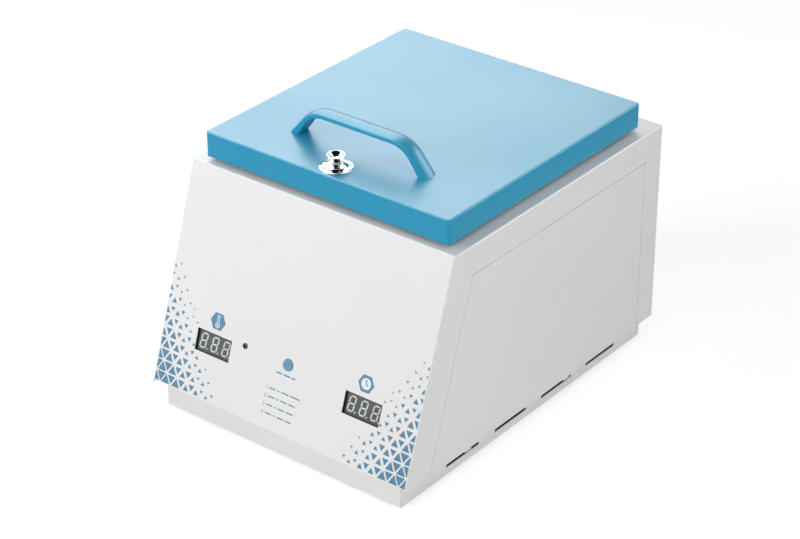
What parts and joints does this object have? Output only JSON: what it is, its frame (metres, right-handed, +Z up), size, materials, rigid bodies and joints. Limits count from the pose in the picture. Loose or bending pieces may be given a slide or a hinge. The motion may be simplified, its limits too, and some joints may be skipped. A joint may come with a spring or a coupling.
{
  "type": "dry heat sterilizer",
  "caption": "Bench dry heat sterilizer with a sloped control panel and a hinged, insulated top lid over a heated steel chamber.",
  "frame": {"origin": "middle of the footprint, on the surface the feet stand on", "axes": "+Z up, -Y towards the user at the sloped control panel, +X to the right as seen by the user"},
  "size_m": [0.28, 0.3695, 0.2727],
  "materials": {
    "white_powder": "fine satin powder coat",
    "blue_powder": "fine satin powder coat",
    "stainless": "fine brushed",
    "zinc_sheet": "galvanised sheet",
    "mineral_wool": "matt fibre",
    "silicone": "matt",
    "black_rubber": "matt",
    "chrome_plate": "mirror",
    "zinc_screw": "zinc plated",
    "display_face": "smooth",
    "display_segment": "diffusing resin, unlit",
    "circuit_board": "solder mask",
    "black_plastic": "fine grain",
    "blue_plastic": "smooth",
    "lamp_lens": "clear dark lens",
    "brass_contact": "plated",
    "heater_sheath": "oxidised sheath",
    "core_steel": "varnished laminations",
    "terminal_plastic": "moulded"
  },
  "bodies": {
    "housing": {"outer_shell": "white_powder", "side_panel_left": "white_powder", "side_panel_right": "white_powder", "base_tray": "white_powder", "rubber_feet": "black_rubber", "foot_screws": "zinc_screw", "base_screws": "zinc_screw", "chamber": "stainless", "heating_element": "heater_sheath", "insulation_jacket": "mineral_wool", "insulation_case": "zinc_sheet", "temperature_probe": "stainless", "probe_gland": "brass_contact", "thermal_cutout": "black_plastic", "instrument_tray": "stainless", "latch_keeper": "zinc_sheet", "hinge_fixed_leaf_left": "stainless", "hinge_pin_left": "stainless", "hinge_fixed_leaf_right": "stainless", "hinge_pin_right": "stainless", "hinge_body_screws": "zinc_screw", "control_board": "circuit_board", "board_standoffs": "zinc_screw", "board_screws": "zinc_screw", "display_left": "display_face", "display_right": "display_face", "display_segments_left": "display_segment", "display_segments_right": "display_segment", "status_led": "lamp_lens", "led_bezel": "black_plastic", "button_switch": "black_plastic", "power_inlet": "black_plastic", "inlet_pins": "brass_contact", "inlet_screws": "zinc_screw", "switch_housing": "black_plastic", "power_board": "circuit_board", "power_spacers": "terminal_plastic", "power_screws": "zinc_screw", "heater_relay": "blue_plastic", "transformer": "core_steel", "terminal_block": "terminal_plastic"},
    "lid": {"lid_shell": "blue_powder", "lid_inner_plate": "stainless", "lid_insulation": "mineral_wool", "lid_posts": "zinc_screw", "lid_plate_screws": "zinc_screw", "lid_gasket": "silicone", "handle": "blue_powder", "handle_screws": "zinc_screw", "latch_rosette": "chrome_plate", "sleeve_nut": "zinc_screw", "hinge_lid_leaf_left": "stainless", "hinge_lid_leaf_right": "stainless", "hinge_lid_screws": "zinc_screw"},
    "latch": {"latch_knob": "chrome_plate", "latch_spindle": "stainless", "latch_bar": "stainless", "latch_bar_screw": "zinc_screw"},
    "button": {"program_button": "blue_plastic"},
    "rocker": {"switch_rocker": "black_plastic"}
  },
  "joints": [
    {"name": "lid_hinge", "type": "hinge", "parent": "housing", "child": "lid", "pos_m": [0, 0.16172, 0.2218], "axis": [-1, 0, 0], "range_deg": [0, 95]},
    {"name": "latch_turn", "type": "hinge", "parent": "lid", "child": "latch", "pos_m": [0, -0.09868, 0.2449], "axis": [0, 0, -1], "range_deg": [0, 90]},
    {"name": "button_press", "type": "slide", "parent": "housing", "child": "button", "axis": [0, 0.948, -0.3183], "range_m": [0, 0.0006], "stiffness_N_per_m": 2500, "springref_m": -0.0004},
    {"name": "rocker_tilt", "type": "hinge", "parent": "housing", "child": "rocker", "pos_m": [-0.048, 0.17662, 0.0583], "axis": [1, 0, 0], "range_deg": [0, 24]}
  ]
}
